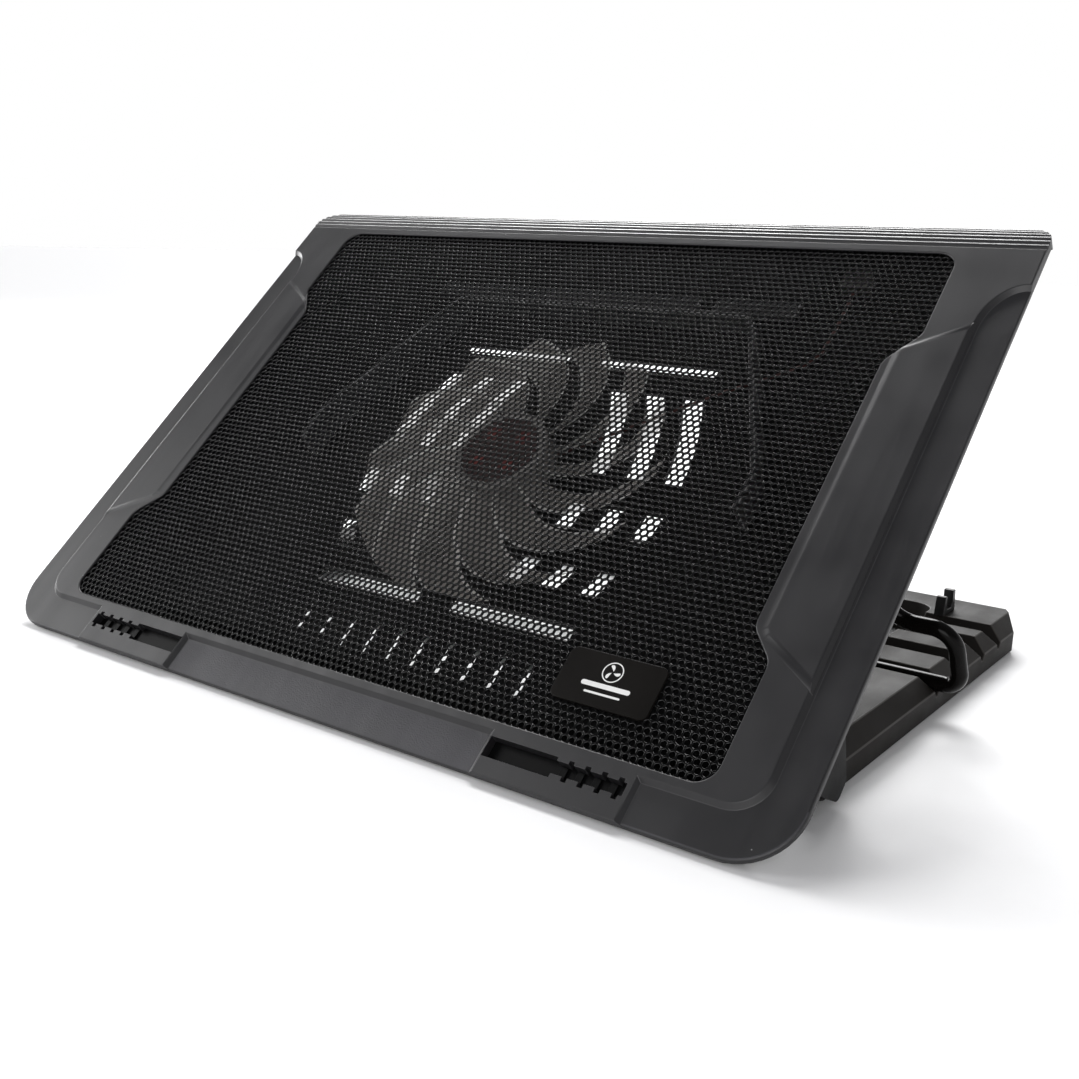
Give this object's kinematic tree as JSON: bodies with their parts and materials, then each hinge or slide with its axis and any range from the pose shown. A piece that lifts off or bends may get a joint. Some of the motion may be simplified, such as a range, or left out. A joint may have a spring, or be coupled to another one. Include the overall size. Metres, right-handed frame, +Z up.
{
  "type": "laptop cooling pad",
  "caption": "Tilting laptop cooling pad: a mesh-topped fan panel hinged to a ring-shaped base and propped by a wire bail whose crossbar drops into notches.",
  "frame": {"origin": "Bottom centre of the whole object, on the plane that its rubber feet stand on.", "axes": "+X to the user's right along the hinge, +Y from the user to the rear, +Z up."},
  "size_m": [0.38, 0.281, 0.1837],
  "materials": {
    "base": "satin",
    "feet": "matte",
    "catch": "satin",
    "pin": "satin",
    "shell": "satin, fine grain",
    "mesh": "gloss",
    "label": "gloss",
    "rack": "satin",
    "cover": "satin",
    "shroud": "satin",
    "board": "satin",
    "winding": "satin",
    "sleeve": "satin",
    "led": "gloss",
    "screw": "satin",
    "lead": "satin",
    "socket": "satin",
    "clip": "satin",
    "blade": "translucent smoke",
    "cap": "gloss",
    "magnet": "matte",
    "shaft": "satin",
    "wire": "gloss"
  },
  "bodies": {
    "base": {"base_frame": "base", "rubber_feet": "feet", "bail_catches": "catch", "hinge_pin_left": "pin", "hinge_pin_right": "pin"},
    "panel": {"top_frame": "shell", "mesh_grille": "mesh", "label_plate": "label", "stop_rack_left": "rack", "stop_rack_right": "rack", "bottom_cover": "cover", "fan_shroud": "shroud", "motor_board": "board", "motor_stator": "winding", "bearing_sleeve": "sleeve", "motor_leds": "led", "motor_screws": "screw", "fan_lead": "lead", "power_inlet": "socket", "bail_clip_left": "clip", "bail_clip_right": "clip", "clip_screws": "screw", "cover_screws": "screw"},
    "bail": {"bail_wire": "wire"},
    "rotor": {"fan_rotor": "blade", "hub_cap": "cap", "rotor_magnet": "magnet", "fan_shaft": "shaft"}
  },
  "joints": [
    {"name": "panel_tilt", "type": "hinge", "parent": "base", "child": "panel", "pos_m": [0, -0.08, 0.0085], "axis": [1, 0, 0], "range_deg": [0, 10]},
    {"name": "bail_swing", "type": "hinge", "parent": "panel", "child": "bail", "pos_m": [0, -0.00242, 0.09053], "axis": [1, 0, 0], "range_deg": [0, 12]},
    {"name": "fan_spin", "type": "hinge", "parent": "panel", "child": "rotor", "pos_m": [0, -0.02247, 0.08319], "axis": [0, -0.6704, 0.742], "continuous": true}
  ],
  "couplings": [
    {"joint": "bail_swing", "follows": "panel_tilt", "ratio": 1.1}
  ]
}
